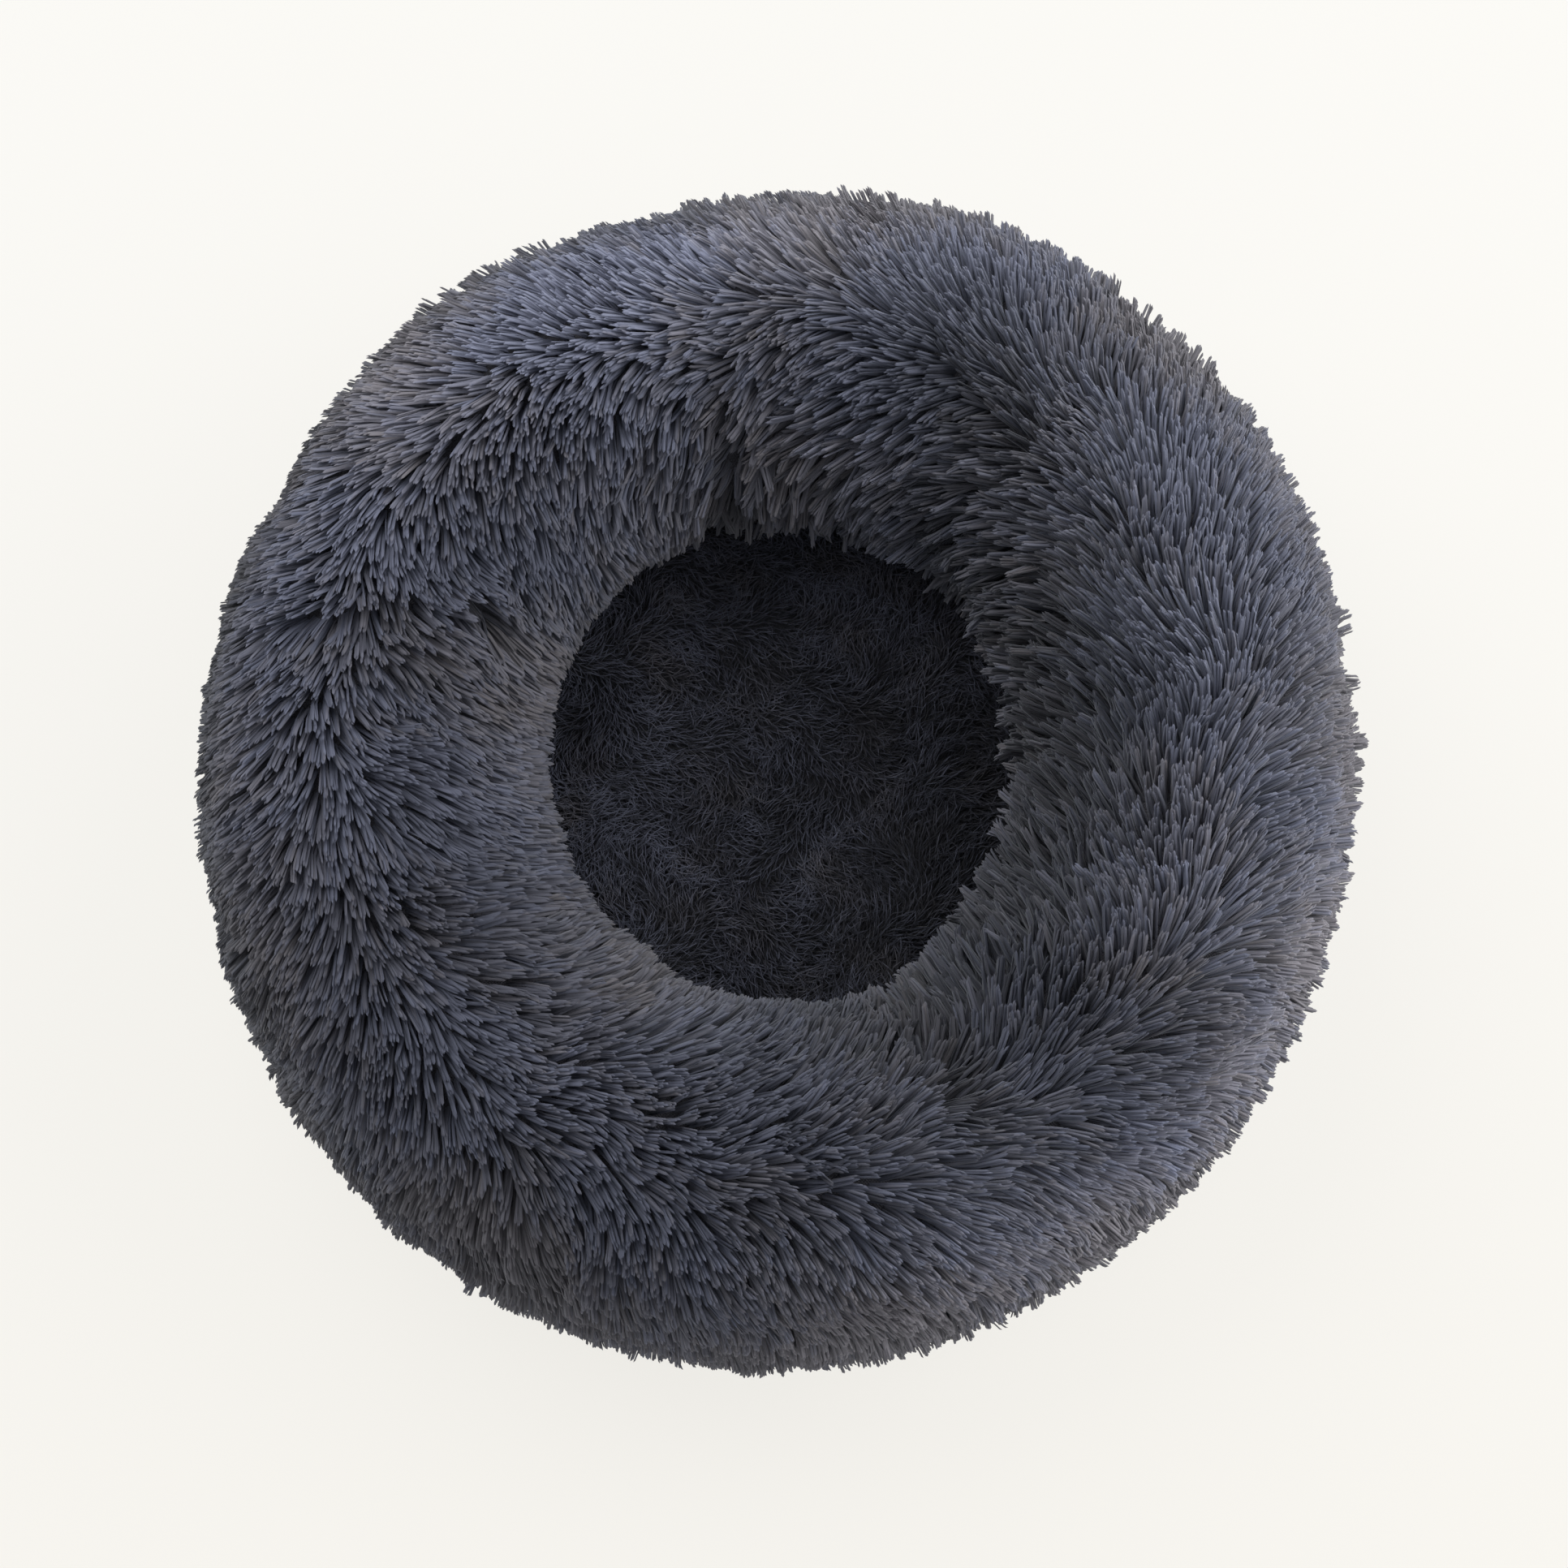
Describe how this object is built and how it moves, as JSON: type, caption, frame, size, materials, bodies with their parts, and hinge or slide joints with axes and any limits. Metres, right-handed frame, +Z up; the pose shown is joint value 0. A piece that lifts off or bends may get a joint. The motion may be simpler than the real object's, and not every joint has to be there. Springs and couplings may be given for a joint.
{
  "type": "donut pet bed",
  "caption": "Round pet bed with a stuffed shag ring round a cushioned nest, on a slip-proof base cloth with a zip for the filling bags.",
  "frame": {"origin": "on the floor under the middle of the bed", "axes": "+Z up; +X to the right and +Y away in the picture's view from above, with the zip along X"},
  "size_m": [0.5859, 0.6013, 0.2015],
  "materials": {
    "long_pile": "long shaggy faux fur, dark slate grey",
    "short_pile": "short plush pile, darker slate grey",
    "base_cloth": "woven cloth with rubber grip dots",
    "bag_cloth": "plain woven",
    "filling": "fibre wadding",
    "zip_plastic": "moulded teeth on woven tape",
    "zip_metal": "dark nickel"
  },
  "bodies": {
    "bed": {"bolster_cover": "long_pile", "bolster_liner": "bag_cloth", "bolster_fill": "filling", "nest_floor_cover": "short_pile", "cushion_liner": "bag_cloth", "cushion_fill": "filling", "base_panel_left": "base_cloth", "base_panel_right": "base_cloth", "zip_side_left": "zip_plastic", "zip_side_right": "zip_plastic", "zip_top_stop_left": "zip_metal", "zip_top_stop_right": "zip_metal", "zip_bottom_stop": "zip_metal"},
    "slider": {"zip_slider": "zip_metal"},
    "pull": {"zip_pull_tab": "zip_metal"}
  },
  "joints": [
    {"name": "zip_travel", "type": "slide", "parent": "bed", "child": "slider", "axis": [-1, 0, 0], "range_m": [0, 0.241], "deforming": ["zip_side_left", "zip_side_right"]},
    {"name": "pull_swing", "type": "hinge", "parent": "slider", "child": "pull", "pos_m": [0.121, 0, 0.0033], "axis": [0, -1, 0], "range_deg": [0, 180]}
  ]
}
